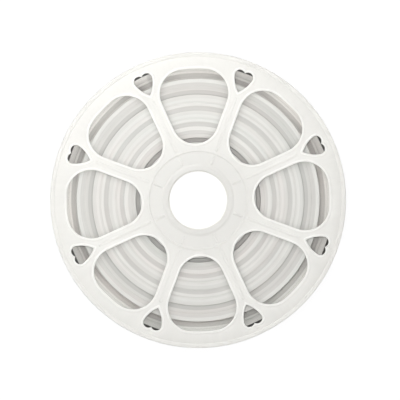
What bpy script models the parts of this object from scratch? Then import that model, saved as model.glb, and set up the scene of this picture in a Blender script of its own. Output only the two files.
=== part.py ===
"""Moulded plastic reel wound with LED neon flex, lying on its rear flange.

Metres, +Z up. The reel's axis is the Z axis, its lowest face is at z = 0.
"""
import math

import bmesh
import bpy
from mathutils import Vector

# ------------------------------------------------------------------ dimensions
REEL_WIDTH = 0.180          # over both flanges
FLANGE_R = 0.2375           # flange rim
BORE_R = 0.0475             # bore right through the reel
COLLAR_R = 0.0565           # raised collar round the bore
HUB_R = 0.0785              # outer edge of the recessed hub ring
WEB_DEPTH = 0.0008          # collar and rim lip stand proud of the web by this
HUB_DEPTH = 0.0014          # face of the hub ring below collar and rim lip
FLANGE_T = 0.005            # outermost plane to the inner face
LIP_R_IN = 0.2318           # inner edge of the rim lip
LIP_T = 0.007               # axial thickness of the rim

WINDOWS = 8
SPOKE_ANGLE = math.radians(24.69)   # first spoke, and the heart window on it
SPOKE_HALF = 0.0120         # half width of a spoke between two petal windows
PETAL_R_OUT = 0.2109        # outer edge of a petal window
PETAL_R_IN = 0.0907         # inner end of a petal window
PETAL_CORNER = 0.0385       # radius of its two outer corners

HEART_LOBE_R = 0.0083       # lobe radius of a heart window
HEART_LOBE_V = 0.0068       # lobe centre, sideways from the spoke's centreline
HEART_LOBE_U = 0.21185      # lobe centre, distance from the axis
HEART_SIDE_R = 0.0500       # radius of its convex sides
HEART_BEND = math.radians(14.0)     # how far each lobe runs on before its side begins

CORE_R = 0.0930             # tube that the flex is wound on
CORE_WALL = 0.0030
BORE_WALL = 0.0032
RIB_T = 0.0030
JOIN_GAP = 0.0003           # core to flange

FLEX_H = 0.0255             # height of the flex, radial pitch in the end lanes
FLEX_H_TIGHT = 0.0246       # radial pitch in the lanes between them
FLEX_W = 0.0144             # width of the flex, axial pitch of the lanes
FLEX_DOME = 0.0072          # height of the rounded light-emitting side
LANES = 11
COIL_R_IN = 0.0936
TURNS_END_LANE = 4          # turns in the lane next to a flange
TURNS = 5                   # turns in the other lanes
LANE_GROOVE = 0.0018        # depth of the valley between two lanes

RIM_SEG = 72
COIL_SEG = 60
CORE_SEG = 64


# --------------------------------------------------------------------- helpers
def material(name, colour, roughness):
    mat = bpy.data.materials.new(name)
    mat.use_nodes = True
    bsdf = mat.node_tree.nodes["Principled BSDF"]
    bsdf.inputs["Base Color"].default_value = (*colour, 1.0)
    bsdf.inputs["Roughness"].default_value = roughness
    bsdf.inputs["Metallic"].default_value = 0.0
    return mat


def add_object(name, bm, mat, sharp_deg=30.0):
    bmesh.ops.recalc_face_normals(bm, faces=bm.faces[:])
    mesh = bpy.data.meshes.new(name)
    bm.to_mesh(mesh)
    bm.free()
    mesh.materials.append(mat)
    mesh.shade_smooth()
    mesh.set_sharp_from_angle(angle=math.radians(sharp_deg))
    obj = bpy.data.objects.new(name, mesh)
    bpy.context.scene.collection.objects.link(obj)
    return obj


def circle(radius, count):
    return [(radius * math.cos(2 * math.pi * i / count),
             radius * math.sin(2 * math.pi * i / count)) for i in range(count)]


def arc(cx, cy, radius, a0, a1, steps):
    """Points from angle a0 to a1, both ends included."""
    return [(cx + radius * math.cos(a0 + (a1 - a0) * i / steps),
             cy + radius * math.sin(a0 + (a1 - a0) * i / steps))
            for i in range(steps + 1)]


def turned(points, angle):
    c, s = math.cos(angle), math.sin(angle)
    return [(x * c - y * s, x * s + y * c) for x, y in points]


def petal_outline():
    """Window whose middle lies on +X: outer arc, two corners, sides parallel
    to the neighbouring spokes, round inner end."""
    half = math.pi / WINDOWS
    sin_h, cos_h = math.sin(half), math.cos(half)
    # round inner end, tangent to both sides
    c_in = (PETAL_R_IN - SPOKE_HALF) / (1.0 - sin_h)
    r_in = c_in - PETAL_R_IN
    # corner circle, tangent to a side and to the outer arc
    r_c = PETAL_CORNER
    dist = PETAL_R_OUT - r_c
    ang = half - math.asin((SPOKE_HALF + r_c) / dist)
    ccx, ccy = dist * math.cos(ang), dist * math.sin(ang)
    side = half + math.pi / 2          # normal of the upper side
    pts = []
    pts += arc(0, 0, PETAL_R_OUT, -ang, ang, 4)[1:-1]
    pts += arc(ccx, ccy, r_c, ang, side, 8)
    pts += arc(c_in, 0, r_in, side, 2 * math.pi - side, 10)
    pts += arc(ccx, -ccy, r_c, -side, -ang, 8)
    return pts


def heart_outline():
    """Heart with its point towards the axis, on +X."""
    v, u, r, big = HEART_LOBE_V, HEART_LOBE_U, HEART_LOBE_R, HEART_SIDE_R
    notch = math.atan2(-v, math.sqrt(r * r - v * v))
    bend = HEART_BEND
    side_u = u + (big - r) * math.sin(bend)    # centre of the convex side
    side_v = v - (big - r) * math.cos(bend)
    end = math.acos(-side_v / big)             # angle at the heart's point
    upper = arc(u, v, r, notch, math.pi / 2 + bend, 5)
    upper += [(side_u - big * math.sin(a), side_v + big * math.cos(a))
              for a in [bend + (end - bend) * k / 4 for k in range(1, 5)]]
    lower = [(x, -y) for x, y in reversed(upper[1:-1])]
    return upper + lower


def loop(bm, points, z):
    return [bm.verts.new((x, y, z)) for x, y in points]


def wall(bm, a, b):
    n = len(a)
    for i in range(n):
        j = (i + 1) % n
        bm.faces.new((a[i], a[j], b[j], b[i]))


def ring_edges(bm, verts):
    out = []
    for i, v in enumerate(verts):
        w = verts[(i + 1) % len(verts)]
        e = bm.edges.get((v, w))
        out.append(e if e else bm.edges.new((v, w)))
    return out


def plate(bm, loops):
    """Flat face bounded by the first loop, with the others as holes."""
    edges = [e for lp in loops for e in ring_edges(bm, lp)]
    bmesh.ops.triangle_fill(bm, use_beauty=True, use_dissolve=False,
                            edges=edges, normal=Vector((0, 0, 1)))


# ---------------------------------------------------------------------- pieces
def make_flange(name, mat, outer_z, inward):
    """Flange with its outer face at outer_z, inward is -1 or +1 along Z."""
    bm = bmesh.new()

    def z(depth):
        return outer_z + inward * depth

    petals = [turned(petal_outline(),
                     SPOKE_ANGLE + math.pi / WINDOWS + 2 * math.pi * k / WINDOWS)
              for k in range(WINDOWS)]
    hearts = [turned(heart_outline(), SPOKE_ANGLE + 2 * math.pi * k / WINDOWS)
              for k in range(WINDOWS)]
    windows = petals + hearts

    bore_in = loop(bm, circle(BORE_R, RIM_SEG), z(FLANGE_T))
    bore_out = loop(bm, circle(BORE_R, RIM_SEG), z(0))
    collar_top = loop(bm, circle(COLLAR_R, RIM_SEG), z(0))
    collar_low = loop(bm, circle(COLLAR_R, RIM_SEG), z(HUB_DEPTH))
    hub_low = loop(bm, circle(HUB_R, RIM_SEG), z(HUB_DEPTH))
    hub_top = loop(bm, circle(HUB_R, RIM_SEG), z(WEB_DEPTH))
    lip_low = loop(bm, circle(LIP_R_IN, RIM_SEG), z(WEB_DEPTH))
    lip_top = loop(bm, circle(LIP_R_IN, RIM_SEG), z(0))
    rim_out = loop(bm, circle(FLANGE_R, RIM_SEG), z(0))
    rim_in = loop(bm, circle(FLANGE_R, RIM_SEG), z(LIP_T))
    back_low = loop(bm, circle(LIP_R_IN, RIM_SEG), z(LIP_T))
    back_face = loop(bm, circle(LIP_R_IN, RIM_SEG), z(FLANGE_T))
    near = [loop(bm, w, z(WEB_DEPTH)) for w in windows]
    far = [loop(bm, w, z(FLANGE_T)) for w in windows]

    for a, b in ((bore_in, bore_out), (bore_out, collar_top),
                 (collar_top, collar_low), (collar_low, hub_low),
                 (hub_low, hub_top), (lip_low, lip_top), (lip_top, rim_out),
                 (rim_out, rim_in), (rim_in, back_low), (back_low, back_face)):
        wall(bm, a, b)
    for a, b in zip(near, far):
        wall(bm, a, b)
    plate(bm, [lip_low, hub_top] + near)
    plate(bm, [back_face, bore_in] + far)
    return add_object(name, bm, mat)


def make_core(mat):
    """Winding tube and bore tube joined by ribs under the spokes."""
    bm = bmesh.new()
    z0 = FLANGE_T + JOIN_GAP
    z1 = REEL_WIDTH - z0
    r_a = BORE_R + BORE_WALL
    r_b = CORE_R - CORE_WALL
    pockets = []
    for k in range(WINDOWS):
        mid = SPOKE_ANGLE + math.pi / WINDOWS + 2 * math.pi * k / WINDOWS
        ha = math.pi / WINDOWS - math.asin(RIB_T / 2 / r_a)
        hb = math.pi / WINDOWS - math.asin(RIB_T / 2 / r_b)
        pts = arc(0, 0, r_b, -hb, hb, 7) + arc(0, 0, r_a, ha, -ha, 5)
        pockets.append(turned(pts, mid))
    rings = [circle(CORE_R, CORE_SEG), circle(BORE_R, RIM_SEG)] + pockets
    low = [loop(bm, r, z0) for r in rings]
    high = [loop(bm, r, z1) for r in rings]
    for a, b in zip(low, high):
        wall(bm, a, b)
    plate(bm, low)
    plate(bm, high)
    return add_object("reel_core", bm, mat)


def end_profile():
    """Half section of the coil's end, from its bore outwards, as pairs of
    radius and depth below the end face. Each turn has a rounded inner side
    and a square outer edge; the last turn begins one lane further in."""
    pts = []
    dome = ((0.0, 0.0056), (0.0016, 0.0024), (FLEX_DOME, 0.0))
    for turn in range(TURNS_END_LANE):
        r = COIL_R_IN + turn * FLEX_H
        pts += [(r + dr, depth) for dr, depth in dome]
        pts.append((r + FLEX_H, 0.0))
    r = COIL_R_IN + TURNS_END_LANE * FLEX_H
    pts += [(r + dr, FLEX_W + depth) for dr, depth in dome]
    return pts


def make_coil(mat):
    """All the turns of flex as one turned solid with its bore."""
    bm = bmesh.new()
    width = LANES * FLEX_W
    z_top = (REEL_WIDTH + width) / 2
    z_low = (REEL_WIDTH - width) / 2
    r_out = COIL_R_IN + TURNS * FLEX_H_TIGHT
    top = [(r, z_top - d) for r, d in end_profile()]
    outer = []
    for lane in range(1, LANES - 1):
        z_a = z_top - lane * FLEX_W
        z_b = z_a - FLEX_W
        first, last = lane == 1, lane == LANES - 2
        outer.append((r_out, z_a if first else z_a - LANE_GROOVE))
        outer.append((r_out, z_b if last else z_b + LANE_GROOVE))
        if not last:
            outer.append((r_out - LANE_GROOVE, z_b))
    low = [(r, z_low + d) for r, d in reversed(end_profile())]
    section = top + outer + low
    loops = [loop(bm, circle(r, COIL_SEG), z) for r, z in section]
    for i, lp in enumerate(loops):
        wall(bm, lp, loops[(i + 1) % len(loops)])
    return add_object("neon_flex_coil", bm, mat)


def main():
    for obj in list(bpy.data.objects):
        bpy.data.objects.remove(obj, do_unlink=True)
    plastic = material("white_moulded_plastic", (0.87, 0.87, 0.83), 0.38)
    inner = material("white_core_plastic", (0.82, 0.82, 0.79), 0.45)
    flex = material("milky_flex", (0.78, 0.76, 0.73), 0.42)
    make_flange("rear_flange", plastic, 0.0, 1)
    make_flange("front_flange", plastic, REEL_WIDTH, -1)
    make_core(inner)
    make_coil(flex)


main()
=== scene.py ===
import math

import bmesh
import bpy
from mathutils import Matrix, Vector


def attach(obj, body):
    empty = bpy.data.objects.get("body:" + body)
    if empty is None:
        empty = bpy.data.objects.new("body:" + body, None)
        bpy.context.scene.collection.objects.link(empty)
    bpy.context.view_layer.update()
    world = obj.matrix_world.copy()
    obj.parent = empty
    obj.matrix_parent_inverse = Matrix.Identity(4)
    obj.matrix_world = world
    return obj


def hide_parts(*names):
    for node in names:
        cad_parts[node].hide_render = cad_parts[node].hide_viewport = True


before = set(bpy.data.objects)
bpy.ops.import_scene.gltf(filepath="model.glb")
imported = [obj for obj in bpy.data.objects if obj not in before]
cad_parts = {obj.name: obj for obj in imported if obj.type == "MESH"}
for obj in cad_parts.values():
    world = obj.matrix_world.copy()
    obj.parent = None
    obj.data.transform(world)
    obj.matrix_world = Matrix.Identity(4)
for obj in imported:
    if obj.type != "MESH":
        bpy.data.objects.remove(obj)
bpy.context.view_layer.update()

# ------------------------------------------------------------------ dimensions
# metres; the reel's axis is Z, the rear flange rests on z = 0
WIDTH = 0.180
FLANGE_R = 0.2375
BORE_R = 0.0475
WEB_D = 0.0008              # depth of the web below collar and rim lip
HUB_D = 0.0014              # depth of the recessed hub ring
FLANGE_T = 0.005
LIP_T = 0.007
N_WIN = 8
SPOKE = math.radians(24.69)
SPOKE_HALF = 0.0120
PETAL_OUT = 0.2109
PETAL_IN = 0.0907
PETAL_CORNER = 0.0385
LOBE_R, LOBE_V, LOBE_U, SIDE_R = 0.0083, 0.0068, 0.21185, 0.0500
LOBE_BEND = math.radians(14.0)
CORE_R, CORE_WALL, BORE_WALL, RIB_T, JOIN = 0.0930, 0.0030, 0.0032, 0.0030, 0.0003
FLEX_H, FLEX_W, LANES, COIL_IN = 0.0255, 0.0144, 11, 0.0936
FLEX_H_TIGHT = 0.0246       # radial pitch in the lanes between the end lanes
TURNS = 4                   # turns in the end lanes, one more in the others
COIL_R = COIL_IN + (TURNS + 1) * FLEX_H_TIGHT
MM = 0.001
SEG = 288


# ------------------------------------------------------------------ the camera
cam_data = bpy.data.cameras.new("view_camera")
cam = bpy.data.objects.new("view_camera", cam_data)
bpy.context.scene.collection.objects.link(cam)
CAM_DIST = 5.0              # from the front flange's face
FRAME_W = 0.642             # what the picture's side measures at that face
cam_data.sensor_width = 36.0
cam_data.sensor_fit = "HORIZONTAL"
cam_data.lens = 36.0 * CAM_DIST / FRAME_W
PX = FRAME_W / 400.0
cam.location = ((200.0 - 198.1) * PX, (200.1 - 200.0) * PX, WIDTH + CAM_DIST)
cam.rotation_euler = (0.0, 0.0, 0.0)
bpy.context.scene.camera = cam


# --------------------------------------------------------------------- helpers
def circle(r, n=SEG):
    return [(r * math.cos(2 * math.pi * i / n), r * math.sin(2 * math.pi * i / n))
            for i in range(n)]


def arc(cx, cy, r, a0, a1, steps):
    return [(cx + r * math.cos(a0 + (a1 - a0) * i / steps),
             cy + r * math.sin(a0 + (a1 - a0) * i / steps))
            for i in range(steps + 1)]


def turned(points, angle):
    c, s = math.cos(angle), math.sin(angle)
    return [(x * c - y * s, x * s + y * c) for x, y in points]


def between(p, q, steps):
    """Inner points of a straight run."""
    return [(p[0] + (q[0] - p[0]) * i / steps, p[1] + (q[1] - p[1]) * i / steps)
            for i in range(1, steps)]


def petal(d=0.0):
    """Petal window's outline moved outwards by d, middle on +X."""
    half = math.pi / N_WIN
    c_in = (PETAL_IN - SPOKE_HALF) / (1.0 - math.sin(half))
    r_in = c_in - PETAL_IN + d
    dist = PETAL_OUT - PETAL_CORNER
    ang = half - math.asin((SPOKE_HALF + PETAL_CORNER) / dist)
    ccx, ccy = dist * math.cos(ang), dist * math.sin(ang)
    r_c = PETAL_CORNER + d
    side = half + math.pi / 2
    top = arc(ccx, ccy, r_c, ang, side, 16)
    inner = arc(c_in, 0, r_in, side, 2 * math.pi - side, 26)
    low = arc(ccx, -ccy, r_c, -side, -ang, 16)
    pts = arc(0, 0, PETAL_OUT + d, -ang, ang, 10)[1:-1]
    pts += top + between(top[-1], inner[0], 6) + inner
    pts += between(inner[-1], low[0], 6) + low
    return pts


def heart(d=0.0):
    """Heart window's outline moved outwards by d, its point towards the axis."""
    r, big = LOBE_R + d, SIDE_R + d
    notch = math.atan2(-LOBE_V, math.sqrt(r * r - LOBE_V * LOBE_V))
    side_u = LOBE_U + (SIDE_R - LOBE_R) * math.sin(LOBE_BEND)
    side_v = LOBE_V - (SIDE_R - LOBE_R) * math.cos(LOBE_BEND)
    end = math.acos(-side_v / big)
    upper = arc(LOBE_U, LOBE_V, r, notch, math.pi / 2 + LOBE_BEND, 16)
    upper += [(side_u - big * math.sin(a), side_v + big * math.cos(a))
              for a in [LOBE_BEND + (end - LOBE_BEND) * k / 12 for k in range(1, 13)]]
    lower = [(x, -y) for x, y in reversed(upper[1:-1])]
    return upper + lower


def bar(r0, r1, half_w, d=0.0):
    """Slim bar with round ends from r0 to r1 along +X, moved outwards by d."""
    w = half_w + d
    return (arc(r1 - half_w, 0, w, -math.pi / 2, math.pi / 2, 8)
            + arc(r0 + half_w, 0, w, math.pi / 2, 3 * math.pi / 2, 8))


def loop(bm, points, z):
    return [bm.verts.new((x, y, z)) for x, y in points]


def strip(bm, a, b, slot=0):
    n = len(a)
    for i in range(n):
        j = (i + 1) % n
        f = bm.faces.new((a[i], a[j], b[j], b[i]))
        f.material_index = slot


def edges_of(bm, verts):
    out = []
    for i, v in enumerate(verts):
        w = verts[(i + 1) % len(verts)]
        e = bm.edges.get((v, w))
        out.append(e if e else bm.edges.new((v, w)))
    return out


def plate(bm, loops):
    edges = [e for lp in loops for e in edges_of(bm, lp)]
    bmesh.ops.triangle_fill(bm, use_beauty=True, use_dissolve=False,
                            edges=edges, normal=Vector((0, 0, 1)))


def to_object(name, bm, mats, sharp=40.0, body="root"):
    bmesh.ops.recalc_face_normals(bm, faces=bm.faces[:])
    mesh = bpy.data.meshes.new(name)
    bm.to_mesh(mesh)
    bm.free()
    for m in mats:
        mesh.materials.append(m)
    mesh.shade_smooth()
    mesh.set_sharp_from_angle(angle=math.radians(sharp))
    obj = bpy.data.objects.new(name, mesh)
    bpy.context.scene.collection.objects.link(obj)
    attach(obj, body)
    return obj


# ------------------------------------------------------------------- materials
class Nodes:
    """Short way to write a node tree."""

    def __init__(self, name):
        self.mat = bpy.data.materials.new(name)
        self.mat.use_nodes = True
        self.tree = self.mat.node_tree
        self.bsdf = self.tree.nodes["Principled BSDF"]

    def add(self, kind, **props):
        node = self.tree.nodes.new(kind)
        for k, v in props.items():
            setattr(node, k, v)
        return node

    def link(self, a, b):
        self.tree.links.new(a, b)

    def math(self, op, a, b=None, c=None):
        node = self.add("ShaderNodeMath", operation=op)
        for i, v in enumerate((a, b, c)):
            if v is None:
                continue
            if isinstance(v, (int, float)):
                node.inputs[i].default_value = v
            else:
                self.link(v, node.inputs[i])
        return node.outputs[0]

    def noise(self, vector, scale, detail=2.0, rough=0.5):
        node = self.add("ShaderNodeTexNoise")
        node.inputs["Scale"].default_value = scale
        node.inputs["Detail"].default_value = detail
        node.inputs["Roughness"].default_value = rough
        self.link(vector, node.inputs["Vector"])
        return node.outputs["Fac"]

    def remap(self, value, lo, hi, a=0.3, b=0.7):
        node = self.add("ShaderNodeMapRange")
        node.inputs["From Min"].default_value = a
        node.inputs["From Max"].default_value = b
        node.inputs["To Min"].default_value = lo
        node.inputs["To Max"].default_value = hi
        self.link(value, node.inputs["Value"])
        return node.outputs["Result"]

    def polar(self):
        """Object position, radius, angle and height."""
        pos = self.add("ShaderNodeTexCoord").outputs["Object"]
        sep = self.add("ShaderNodeSeparateXYZ")
        self.link(pos, sep.inputs[0])
        x, y, z = sep.outputs
        r = self.math("SQRT", self.math("ADD", self.math("MULTIPLY", x, x),
                                        self.math("MULTIPLY", y, y)))
        ang = self.math("ARCTAN2", y, x)
        return pos, x, y, z, r, ang

    def vec(self, a, b, c):
        node = self.add("ShaderNodeCombineXYZ")
        for i, v in enumerate((a, b, c)):
            if isinstance(v, (int, float)):
                node.inputs[i].default_value = v
            else:
                self.link(v, node.inputs[i])
        return node.outputs[0]

    def tint(self, colour, factor):
        """colour times a scalar factor."""
        node = self.add("ShaderNodeVectorMath", operation="SCALE")
        node.inputs[0].default_value = colour
        self.link(factor, node.inputs["Scale"])
        self.link(node.outputs[0], self.bsdf.inputs["Base Color"])

    def bump(self, height, strength, distance, normal=None):
        node = self.add("ShaderNodeBump")
        node.inputs["Strength"].default_value = strength
        node.inputs["Distance"].default_value = distance
        self.link(height, node.inputs["Height"])
        if normal is not None:
            self.link(normal, node.inputs["Normal"])
        return node.outputs["Normal"]


def plastic(name, colour, rough=(0.34, 0.46), grain=0.10, flow=0.012, deep=0.35,
            tone=(0.93, 1.0, 0.08, 0.15), painted_shadow_share=0.0):
    """Satin moulded plastic: faint cloudiness, flow marks that fan out from
    the hub, fine grain. Painted shade darkens it in hollows by ambient
    occlusion, down to deep; tone is a radial ramp of the colour, painted
    light that on the flange is lighter towards the rim; a share above zero
    lays painted shadow patches on the inner faces in line with the hearts."""
    n = Nodes(name)
    pos, x, y, z, r, ang = n.polar()
    cloud = n.noise(pos, 11.0, 3.0)
    cx, cy = n.math("COSINE", ang), n.math("SINE", ang)
    fan = n.noise(n.vec(n.math("MULTIPLY", cx, 9.0), n.math("MULTIPLY", cy, 9.0),
                        n.math("MULTIPLY", r, 6.0)), 3.0, 4.0, 0.6)
    grainy = n.noise(pos, 900.0, 2.0)
    f1 = n.remap(cloud, 1.0 - 0.012, 1.0 + 0.012)
    f2 = n.remap(fan, 1.0 - flow, 1.0 + flow)
    # painted shade: the colour darkens in hollows by ambient occlusion, down to deep
    hollow = n.add("ShaderNodeAmbientOcclusion", samples=12)
    hollow.inputs["Distance"].default_value = 0.050
    shade = n.remap(hollow.outputs["AO"], deep, 1.0, 0.40, 0.84)
    # painted light: a radial ramp of the colour, on the flange lighter towards the rim
    spread = n.remap(r, *tone)
    # painted shadow: darker patches on the inner face near the rim, in line with each heart
    # window
    if painted_shadow_share:
        wave = n.math("COSINE", n.math("MULTIPLY_ADD", ang, float(N_WIN), -N_WIN * SPOKE))
        painted_shadow_mask = n.math("MULTIPLY", n.remap(wave, 0.0, 1.0, 0.68, 0.90),
                      n.math("MULTIPLY", n.remap(r, 0.0, 1.0, 0.2165, 0.2205),
                             n.remap(r, 1.0, 0.0, 0.2285, 0.2308)))
        spread = n.math("MULTIPLY", spread, n.math("MULTIPLY_ADD", painted_shadow_mask, -painted_shadow_share, 1.0))
    n.tint(colour, n.math("MULTIPLY", n.math("MULTIPLY", f1, f2),
                          n.math("MULTIPLY", shade, spread)))
    n.link(n.remap(cloud, rough[0], rough[1]), n.bsdf.inputs["Roughness"])
    nrm = n.bump(grainy, grain, 0.0002)
    n.link(n.bump(fan, 0.05, 0.0012, nrm), n.bsdf.inputs["Normal"])
    n.bsdf.inputs["IOR"].default_value = 1.49
    n.bsdf.inputs["Subsurface Weight"].default_value = 0.0
    return n.mat


def jacket(name, colour, rough=(0.36, 0.48), lines=0.04, deep=0.60, reach=0.030,
           span=(0.15, 0.85), under=0.0):
    """Extruded milky jacket: streaks run along the flex, round the coil, some
    of them warmer and some cooler. Painted shade darkens close hollows by
    ambient occlusion, and painted shadow darkens the outer layer's side
    faces in line with the flanges' small windows, by the share of under."""
    n = Nodes(name)
    pos, x, y, z, r, ang = n.polar()
    cx, cy = n.math("COSINE", ang), n.math("SINE", ang)

    def along(k_r, k_a):
        return n.vec(n.math("MULTIPLY_ADD", cx, k_a, n.math("MULTIPLY", r, k_r)),
                     n.math("MULTIPLY", cy, k_a), n.math("MULTIPLY", z, k_r))

    fine = n.noise(along(260.0, 0.35), 1.6, 4.0, 0.65)
    broad = n.noise(along(75.0, 0.40), 1.3, 2.0)
    tone = n.noise(along(48.0, 0.60), 1.2, 2.0)
    cloud = n.noise(pos, 26.0, 3.0)
    f = n.math("MULTIPLY", n.remap(fine, 1.0 - lines, 1.0 + lines),
               n.remap(broad, 0.965, 1.035))
    f = n.math("MULTIPLY", f, n.remap(cloud, 0.99, 1.01))
    # painted shade: the colour darkens in close hollows by ambient occlusion
    hollow = n.add("ShaderNodeAmbientOcclusion", samples=12)
    hollow.inputs["Distance"].default_value = reach
    f = n.math("MULTIPLY", f, n.remap(hollow.outputs["AO"], deep, 1.0, *span))
    # painted shadow: the outer layer's side faces in line with the heart windows are darker
    if under:
        wave = n.math("COSINE", n.math("MULTIPLY_ADD", ang, float(N_WIN), -N_WIN * SPOKE))
        face = n.remap(n.math("ABSOLUTE", n.math("SUBTRACT", z, WIDTH / 2)), 0.0, 1.0,
                       (LANES - 2) * FLEX_W / 2 - 0.0018, (LANES - 2) * FLEX_W / 2 - 0.0006)
        painted_shadow_mask = n.math("MULTIPLY", n.remap(wave, 0.0, 1.0, 0.40, 0.80), face)
        f = n.math("MULTIPLY", f, n.math("MULTIPLY_ADD", painted_shadow_mask, -under, 1.0))
    mix = n.add("ShaderNodeMix", data_type="RGBA", blend_type="MIX")
    n.link(n.remap(tone, 0.0, 1.0, 0.35, 0.65), mix.inputs["Factor"])
    warm, cool = (1.012, 0.992, 0.975), (0.988, 1.004, 0.985)
    mix.inputs["A"].default_value = (*[c * w for c, w in zip(colour, warm)], 1.0)
    mix.inputs["B"].default_value = (*[c * w for c, w in zip(colour, cool)], 1.0)
    node = n.add("ShaderNodeVectorMath", operation="SCALE")
    n.link(mix.outputs["Result"], node.inputs[0])
    n.link(f, node.inputs["Scale"])
    n.link(node.outputs[0], n.bsdf.inputs["Base Color"])
    n.link(n.remap(cloud, rough[0], rough[1]), n.bsdf.inputs["Roughness"])
    nrm = n.bump(fine, 0.25, 0.0004)
    n.link(n.bump(n.noise(pos, 700.0, 2.0), 0.06, 0.0002, nrm), n.bsdf.inputs["Normal"])
    n.bsdf.inputs["IOR"].default_value = 1.43
    return n.mat


# flange plastic, with painted shade in its hollows and a radial ramp of painted light
M_WEB = plastic("flange_plastic", (0.878, 0.868, 0.830))
# lighter copy of the flange plastic: painted highlight on the window beads and the bore wall
M_BEAD_LIT = plastic("flange_painted_highlight", (0.965, 0.958, 0.922), rough=(0.25, 0.33), flow=0.004,
                 deep=1.0, tone=(0.97, 1.0, 0.09, 0.14))
# darker copy of the flange plastic: painted shade on the hub disc
M_HUB_SHADE = plastic("hub_disc_painted_shade", (0.795, 0.786, 0.753), rough=(0.34, 0.44), flow=0.006,
                tone=(0.970, 1.0, 0.053, 0.060))
# flanges' inner faces: painted shade in hollows and painted shadow patches in line with the
# hearts
M_INSIDE = plastic("flange_inside_shadow_patches", (0.878, 0.868, 0.830), deep=0.60,
                   tone=(1.0, 1.0, 0.08, 0.15), painted_shadow_share=0.66)
M_CORE = plastic("core_plastic", (0.90, 0.893, 0.86), flow=0.006, deep=1.0,
                 tone=(1.0, 0.74, 0.060, 0.088))
M_BASE = jacket("flex_base", (0.735, 0.725, 0.704))
# lighter copy of the jacket: painted light on the brightest bands of each turn
M_PALE_LIT = jacket("flex_base_painted_light", (0.780, 0.771, 0.751))
# darker copy of the jacket: painted shade on the inner part of the first and last turns
M_DIM_SHADE = jacket("flex_base_painted_shade", (0.680, 0.668, 0.648))
M_DIFF = jacket("flex_diffuser", (0.625, 0.613, 0.596), rough=(0.30, 0.40), lines=0.02)
# darker copy of the diffuser: painted shade on the first and last turns
M_DIFF_SHADE = jacket("flex_diffuser_painted_shade", (0.580, 0.569, 0.553), rough=(0.30, 0.40), lines=0.02)
# outer layer: painted shade in hollows and painted shadow in line with the hearts
M_OUT = jacket("flex_outer_base", (0.730, 0.716, 0.693), deep=0.45, reach=0.070,
               span=(0.12, 0.50), under=0.21)
# the diffuser's own greyer colour, darkened further as painted shade
M_OUT_DIFF_SHADE = jacket("flex_outer_diffuser_painted_shade", (0.550, 0.532, 0.514), rough=(0.30, 0.40),
                    lines=0.02, deep=0.45, reach=0.070, span=(0.12, 0.50), under=0.20)
# lighter copy of the outer diffuser: painted light against the shadow of the end lanes' step
M_OUT_LIT = jacket("flex_outer_painted_light", (0.690, 0.671, 0.650), rough=(0.30, 0.40),
                    lines=0.02, deep=0.85, reach=0.050, under=0.15)


# --------------------------------------------------------------------- flanges
# (distance outside the window's edge, height above the web), both in mm
BEAD = ((4.9, 0.0), (4.6, -0.05), (4.3, -0.02), (4.0, 0.14), (3.65, 0.38), (3.3, 0.56),
        (2.8, 0.69), (2.1, 0.74), (1.4, 0.70), (0.9, 0.60), (0.5, 0.42), (0.2, 0.12),
        (0.0, -0.30))
CONTOUR = ((7.2, 0.0), (7.0, 0.0), (6.7, -0.07), (6.5, -0.07), (6.2, 0.0))
FOOT = ((0.0, -3.5), (0.12, -3.95), (0.4, -4.2))   # foot of the window's wall


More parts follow.
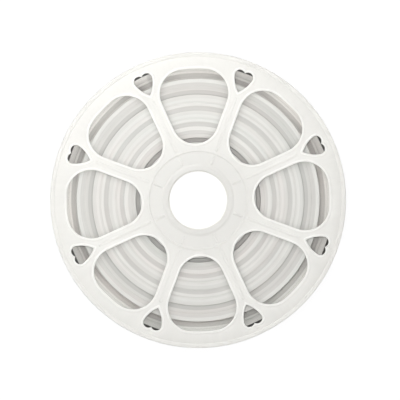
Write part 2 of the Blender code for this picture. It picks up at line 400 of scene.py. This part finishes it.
def make_flange(name, outer_z, inward, node):
    """One moulding; inward is the direction from its outer face to the coil."""
    bm = bmesh.new()

    def z(depth):
        return outer_z + inward * depth

    def web(h_mm):
        return z(WEB_D - h_mm * MM)

    open_near, open_far = [], []

    def window(shape, angle, rows):
        last = None
        for d, h in rows:
            lp = loop(bm, turned(shape(d * MM), angle), web(h))
            if last is None:
                open_near.append(lp)
            else:
                # the bead's crest and inner slope take the lighter copy: painted highlight
                strip(bm, last, lp, 1 if prev[0] <= 3.7 and h > -3.0 else 0)
            last, prev = lp, (d, h)
        lp = loop(bm, turned(shape(0.7 * MM), angle), z(FLANGE_T))
        strip(bm, last, lp)
        lp2 = loop(bm, turned(shape(1.0 * MM), angle), z(FLANGE_T))
        strip(bm, lp, lp2)
        open_far.append(lp2)

    for k in range(N_WIN):
        a = SPOKE + 2 * math.pi * k / N_WIN
        window(petal, a + math.pi / N_WIN, CONTOUR + BEAD + FOOT)
        window(heart, a, BEAD + FOOT)

    def ridge(r0, r1, half_w, base, high, angle, holes, soft=1.0):
        """Low raised bar on a flat face at depth base."""
        rows = ((1.0, 0.0), (0.70, 0.0), (0.45, 0.10), (0.1, 0.5), (-0.3, 0.9), (-0.55, 1.0),
                (-0.9, 1.0))
        last = None
        for d, f in rows:
            lp = loop(bm, turned(bar(r0, r1, half_w, d * soft * MM), angle),
                      z(base - f * high))
            if last is None:
                holes.append(lp)
            else:
                strip(bm, last, lp)
            last = lp
        plate(bm, [last])

    hub_holes = []
    for k in range(N_WIN):
        a = SPOKE + 2 * math.pi * k / N_WIN
        ridge(0.0838, 0.1748, 0.0019, WEB_D, 0.00078, a, open_near)
        ridge(0.2247, 0.2289, 0.0010, WEB_D, 0.00035, a, open_near, 0.6)
        ridge(0.0604, 0.0752, 0.0015, HUB_D, 0.00080, a, hub_holes)

    # bore mouth and its rounded collar, from the inner face outwards
    bore = ((52.5, 5.0), (49.5, 5.0), (47.6, 5.0), (47.5, 4.95), (47.5, 0.9), (47.55, 0.5),
            (47.75, 0.28), (48.1, 0.15), (49.0, 0.06), (50.4, 0.01), (52.0, 0.0), (53.6, 0.0),
            (54.5, 0.05), (55.3, 0.22), (56.1, 0.56), (57.0, 1.00), (57.7, 1.28),
            (58.3, 1.39), (59.0, 1.40))
    loops = [loop(bm, circle(r * MM), z(t * MM)) for r, t in bore]
    for a, b in zip(loops, loops[1:]):
        strip(bm, a, b)
    far_hub, hub_in = loops[0], loops[-1]
    # step up from the recessed hub ring to the web, with a slight crest
    step = ((76.4, 1.40), (77.1, 1.40), (77.6, 1.26), (78.1, 0.84), (78.6, 0.40),
            (79.0, 0.20), (79.5, 0.16), (80.1, 0.30), (80.9, 0.60), (81.6, 0.77), (82.2, 0.80))
    loops = [loop(bm, circle(r * MM), z(t * MM)) for r, t in step]
    for a, b in zip(loops, loops[1:]):
        strip(bm, a, b)
    plate(bm, [loops[0], hub_in] + hub_holes)
    web_in = loops[-1]
    for f in bm.faces:
        c = f.calc_center_median()
        # hub disc faces take the darker copy: painted shade
        if math.hypot(c.x, c.y) < 0.0785 and abs(c.z - outer_z) < 0.0030:
            f.material_index = 2
        # bore wall faces take the lighter copy: painted highlight
        if math.hypot(c.x, c.y) < 0.0520 and abs(c.z - outer_z) > 0.0020:
            f.material_index = 1

    # rim: inner flank, lip, outer edge and the thicker back of the rim
    rim = ((229.7, 0.80), (229.95, 0.96), (230.2, 1.10), (230.45, 1.10), (230.8, 0.90),
           (231.3, 0.48), (231.75, 0.16), (232.2, 0.03), (232.9, 0.0), (234.8, 0.0),
           (235.9, 0.03), (236.5, 0.14), (237.0, 0.45), (237.3, 1.0), (237.45, 1.7),
           (237.5, 2.6), (237.5, 5.0), (237.4, 5.9), (237.0, 6.5), (236.4, 6.9),
           (235.7, 7.0), (233.2, 7.0), (232.5, 6.85), (232.1, 6.4), (232.0, 5.7),
           (231.8, 5.2), (231.3, 5.0), (230.8, 5.0))
    loops = [loop(bm, circle(r * MM), z(t * MM)) for r, t in rim]
    for a, b in zip(loops, loops[1:]):
        strip(bm, a, b)
    plate(bm, [loops[0], web_in] + open_near)
    plate(bm, [loops[-1], far_hub] + open_far)
    # inner faces take the fourth slot: painted shade and painted shadow patches
    for f in bm.faces:
        if abs(f.calc_center_median().z - outer_z) > FLANGE_T - 0.0001 and f.material_index == 0:
            f.material_index = 3
    obj = to_object(name, bm, [M_WEB, M_BEAD_LIT, M_HUB_SHADE, M_INSIDE], 38.0)
    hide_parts(node)
    return obj


# ------------------------------------------------------------------------ core
def make_core():
    bm = bmesh.new()
    z0, z1 = FLANGE_T + 0.00004, WIDTH - FLANGE_T - 0.00004
    r_a, r_b = BORE_R + BORE_WALL, CORE_R - CORE_WALL
    pockets = []
    for k in range(N_WIN):
        mid = SPOKE + math.pi / N_WIN + 2 * math.pi * k / N_WIN
        ha = math.pi / N_WIN - math.asin(RIB_T / 2 / r_a)
        hb = math.pi / N_WIN - math.asin(RIB_T / 2 / r_b)
        pts = arc(0, 0, r_b, -hb, hb, 20) + arc(0, 0, r_a, ha, -ha, 16)
        pockets.append(turned(pts, mid))
    ends = {}
    for key, zz, s in (("low", z0, 1), ("high", z1, -1)):
        outer = loop(bm, circle(CORE_R - 0.0006), zz)
        bore = loop(bm, circle(BORE_R + 0.00002), zz)
        pk = [loop(bm, p, zz) for p in pockets]
        plate(bm, [outer, bore] + pk)
        edge = loop(bm, circle(CORE_R - 0.0002), zz + s * 0.0002)
        side = loop(bm, circle(CORE_R), zz + s * 0.0006)
        lip = loop(bm, circle(BORE_R), zz + s * 0.0001)
        strip(bm, outer, edge)
        strip(bm, edge, side)
        strip(bm, bore, lip)
        ends[key] = (side, lip, pk)
    strip(bm, ends["low"][0], ends["high"][0])
    # bore wall in a few rings, with the fine parting line half way
    mid = (z0 + z1) / 2
    last = ends["low"][1]
    wide = BORE_R + 0.0020
    for zz, r in ((z0 + 0.0004, wide), (mid - 0.0006, wide), (mid - 0.0002, wide + 0.00015),
                  (mid + 0.0002, wide + 0.00015), (mid + 0.0006, wide), (z1 - 0.0004, wide)):
        lp = loop(bm, circle(r), zz)
        strip(bm, last, lp)
        last = lp
    strip(bm, last, ends["high"][1])
    for a, b in zip(ends["low"][2], ends["high"][2]):
        strip(bm, a, b)
    obj = to_object("reel_core_tube", bm, [M_CORE], 38.0)
    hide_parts("reel_core")
    return obj


# ------------------------------------------------------------------------ coil
def sway(theta, seed, amp):
    """Smooth closed wobble round the axis."""
    s = seed * 1.7
    return amp * (0.55 * math.sin(theta + s) + 0.35 * math.sin(2 * theta + 2.3 * s + 1.0)
                  + 0.25 * math.sin(3 * theta + 0.7 * s + 2.0)
                  + 0.12 * math.sin(7 * theta + 1.9 * s))


# one turn from its inner, light-emitting side to its square outer edge:
# (share of the height, depth below the side face in mm, slot)
# slot 1 is the diffuser; slot 2 the lighter copy, painted light on the brightest bands
TURN = ((0.000, 0.75, 1), (0.008, 0.55, 1), (0.030, 0.48, 1), (0.080, 0.45, 1),
        (0.150, 0.42, 1), (0.205, 0.40, 1), (0.245, 0.33, 1), (0.275, 0.18, 0),
        (0.310, 0.05, 2), (0.360, 0.0, 2), (0.440, 0.0, 0), (0.480, 0.08, 0),
        (0.500, 0.30, 0), (0.512, 0.44, 0), (0.525, 0.30, 0), (0.550, 0.05, 0),
        (0.590, 0.0, 2), (0.750, 0.0, 0), (0.830, 0.05, 0), (0.900, 0.14, 0),
        (0.955, 0.28, 0), (0.990, 0.47, 0), (1.000, 0.75, 0))


def end_rows(deep_first=10.0, tilt=(0.0, 0.0, 0.0, 2.2)):
    """Section of the coil's end from the bore outwards: (r, depth, turn, slot)."""
    rows = []
    for t in range(TURNS):
        r0 = COIL_IN + t * FLEX_H
        for f, depth, slot in TURN:
            d = depth * MM
            if t == 0 and f < 0.27:
                d += deep_first * MM
            d += tilt[t] * MM * (1.0 - f) ** 2
            # first and last turns: painted shade on the inner part, painted light on the outer
            # part
            if t in (0, TURNS - 1) and slot != 1:
                slot = 3 if f < 0.60 else 2
            # their diffuser takes the darker copy: painted shade
            if t in (0, TURNS - 1) and slot == 1:
                slot = 4
            rows.append((r0 + f * FLEX_H, d, t, slot))
    return rows


def make_coil():
    """The end lanes and all that lies under the outer layer."""
    bm = bmesh.new()
    z_top = (WIDTH + LANES * FLEX_W) / 2
    z_low = (WIDTH - LANES * FLEX_W) / 2
    step_r = COIL_IN + TURNS * FLEX_H
    seat_r = COIL_R - FLEX_H_TIGHT - 0.0006
    rows = [(r, z_top - d, t, s, 1) for r, d, t, s in end_rows()]
    edge = z_top - FLEX_W
    rows += [(step_r, edge + 0.0016, TURNS, 0, 0), (step_r - 0.0008, edge + 0.0002, TURNS, 0, 0),
             (seat_r, edge - 0.0002, TURNS, 0, 0),
             (seat_r, z_low + FLEX_W + 0.0002, TURNS, 0, 0),
             (step_r - 0.0008, z_low + FLEX_W - 0.0002, TURNS, 0, 0),
             (step_r, z_low + FLEX_W - 0.0016, TURNS, 0, 0)]
    rows += [(r, z_low + d, t + 10, s, -1) for r, d, t, s in reversed(end_rows())]
    loops = []
    for r, zz, t, s, end in rows:
        pts = []
        for i in range(SEG):
            th = 2 * math.pi * i / SEG
            dz = sway(th, t + 1, 0.00015) if end else 0.0
            dr = sway(th, t * 3 + 2, 0.00014) if end and (t % 10) else 0.0
            if r > step_r - 0.001 or r < COIL_IN + 0.0004:
                dr = 0.0
            pts.append(bm.verts.new(((r + dr) * math.cos(th), (r + dr) * math.sin(th), zz + dz)))
        loops.append(pts)
    for i, lp in enumerate(loops):
        strip(bm, lp, loops[(i + 1) % len(loops)], rows[i][3])
    obj = to_object("neon_flex_winding", bm, [M_BASE, M_DIFF, M_PALE_LIT, M_DIM_SHADE, M_DIFF_SHADE], 50.0)
    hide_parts("neon_flex_coil")
    return obj


def make_outer_layer():
    """The last layer of the flex, wound lane by lane from the front to the
    rear. Each turn runs level and then crosses over to the next lane; the
    last one dips under, beside the rear flange."""
    bm = bmesh.new()
    w = (FLEX_W - 0.0002) / 2 / 0.0071
    lanes = LANES - 2
    # section: (height above the seat, half width, slot) from the dome to the back
    # slot 1 is the diffuser, darkened as painted shade; slot 2, on the dome's flank beside the
    # step, is painted light
    half = ((0.0, 0.0, 1), (0.0002, 0.0030, 1), (0.0008, 0.0050, 1), (0.0018, 0.0061, 2),
            (0.0032, 0.0066, 2), (0.0046, 0.0067, 1), (0.0066, 0.0067, 1), (0.0090, 0.00675, 1),
            (0.0110, 0.0068, 1),
            (0.0116, 0.0071, 0), (0.0150, 0.0071, 0), (0.0155, 0.0067, 0),
            (0.0160, 0.0071, 0), (0.0208, 0.0071, 0), (0.0228, 0.0070, 0),
            (0.0239, 0.0066, 0), (0.0245, 0.0059, 0), (0.0246, 0.0050, 0),
            (0.0246, 0.0036, 0), (0.0243, 0.0032, 0), (0.0243, 0.0, 0))
    section = [(a, b * w, s) for a, b, s in half]
    section += [(a, -b, half[i][2]) for i, (a, b, s) in list(enumerate(section))[-2:0:-1]]
    slots = [half[i][2] for i in range(len(half) - 1)]
    slots += list(reversed(slots))
    seat = COIL_R - FLEX_H_TIGHT
    z_first = (WIDTH + LANES * FLEX_W) / 2 - 1.5 * FLEX_W
    start = math.radians(START_DEG)
    cross = math.radians(11.0)
    per = 150
    steps = int(per * (lanes + 0.10))
    rings = []
    for i in range(steps + 1):
        th = 2 * math.pi * i / per
        n = int(th / (2 * math.pi) + 1e-9)
        local = th - n * 2 * math.pi
        f = max(0.0, (local - (2 * math.pi - cross)) / cross)
        f = f * f * (3 - 2 * f)
        zz = z_first - (n + f) * FLEX_W
        sink = 0.0
        if n >= lanes - 1:
            g = (th - 2 * math.pi * (lanes - 1) - (2 * math.pi - cross)) / (cross * 1.4)
            g = max(0.0, min(1.0, g))
            sink = g * g * (3 - 2 * g) * (FLEX_H_TIGHT + 0.0028)
            zz = max(zz, z_first - lanes * FLEX_W)
        lift = sway(th, n + 5, 0.00030) + 0.0011 - sink
        zz += sway(th, 3, 0.0003) * (0 < n < lanes - 1)
        a = start + th
        rings.append([bm.verts.new(((seat + up + lift) * math.cos(a),
                                    (seat + up + lift) * math.sin(a), zz + side))
                      for up, side, _ in section])
    for a, b in zip(rings, rings[1:]):
        for i in range(len(a)):
            j = (i + 1) % len(a)
            f = bm.faces.new((a[i], a[j], b[j], b[i]))
            f.material_index = slots[i]
    for ring in (rings[0], rings[-1]):
        bm.faces.new(ring)
    obj = to_object("neon_flex_outer_layer", bm, [M_OUT, M_OUT_DIFF_SHADE, M_OUT_LIT], 40.0)
    return obj


START_DEG = 122.0

make_flange("front_flange_moulding", WIDTH, -1, "front_flange")
make_flange("rear_flange_moulding", 0.0, 1, "rear_flange")
make_core()
make_coil()
make_outer_layer()


# ------------------------------------------------------------- floor and light
def make_floor():
    bm = bmesh.new()
    bmesh.ops.create_grid(bm, x_segments=1, y_segments=1, size=6.0)
    mesh = bpy.data.meshes.new("floor")
    bm.to_mesh(mesh)
    bm.free()
    obj = bpy.data.objects.new("floor", mesh)
    obj.location = (0, 0, -0.0002)
    bpy.context.scene.collection.objects.link(obj)
    n = Nodes("floor_white")
    n.bsdf.inputs["Base Color"].default_value = (0.12, 0.12, 0.12, 1.0)
    n.bsdf.inputs["Roughness"].default_value = 0.9
    n.bsdf.inputs["Specular IOR Level"].default_value = 0.0
    n.bsdf.inputs["Emission Color"].default_value = (1.0, 1.0, 1.0, 1.0)
    n.bsdf.inputs["Emission Strength"].default_value = 0.97
    mesh.materials.append(n.mat)


def area(name, loc, size, watts, target=(0, 0, 0.1)):
    data = bpy.data.lights.new(name, "AREA")
    data.shape = "RECTANGLE"
    data.size, data.size_y = size
    data.energy = watts
    obj = bpy.data.objects.new(name, data)
    obj.location = loc
    way = Vector(target) - Vector(loc)
    obj.rotation_euler = way.to_track_quat("-Z", "Y").to_euler()
    bpy.context.scene.collection.objects.link(obj)
    return obj


make_floor()
key = area("key_overhead", (-0.04, 0.05, 2.08), (0.34, 0.34), 10.85, (-0.12, 0.195, 0.18))
key.data.shape = "DISK"
key.data.spread = math.radians(105.0)
key.visible_camera = False
key.visible_glossy = False
side = area("soft_upper_left", (-1.1, 1.1, 1.7), (1.2, 1.2), 6.0)
side.visible_camera = False
sheen = area("sheen_top", (-0.45, 1.55, 1.75), (1.1, 0.8), 14.0)
sheen.visible_camera = False
sheen.visible_diffuse = False

world = bpy.data.worlds.new("studio")
bpy.context.scene.world = world
world.use_nodes = True
world.node_tree.nodes["Background"].inputs["Color"].default_value = (1.0, 1.0, 1.0, 1.0)
world.node_tree.nodes["Background"].inputs["Strength"].default_value = 0.10

scene = bpy.context.scene
scene.view_settings.view_transform = "Standard"
scene.view_settings.look = "None"
scene.view_settings.exposure = 0.0
scene.view_settings.gamma = 1.0
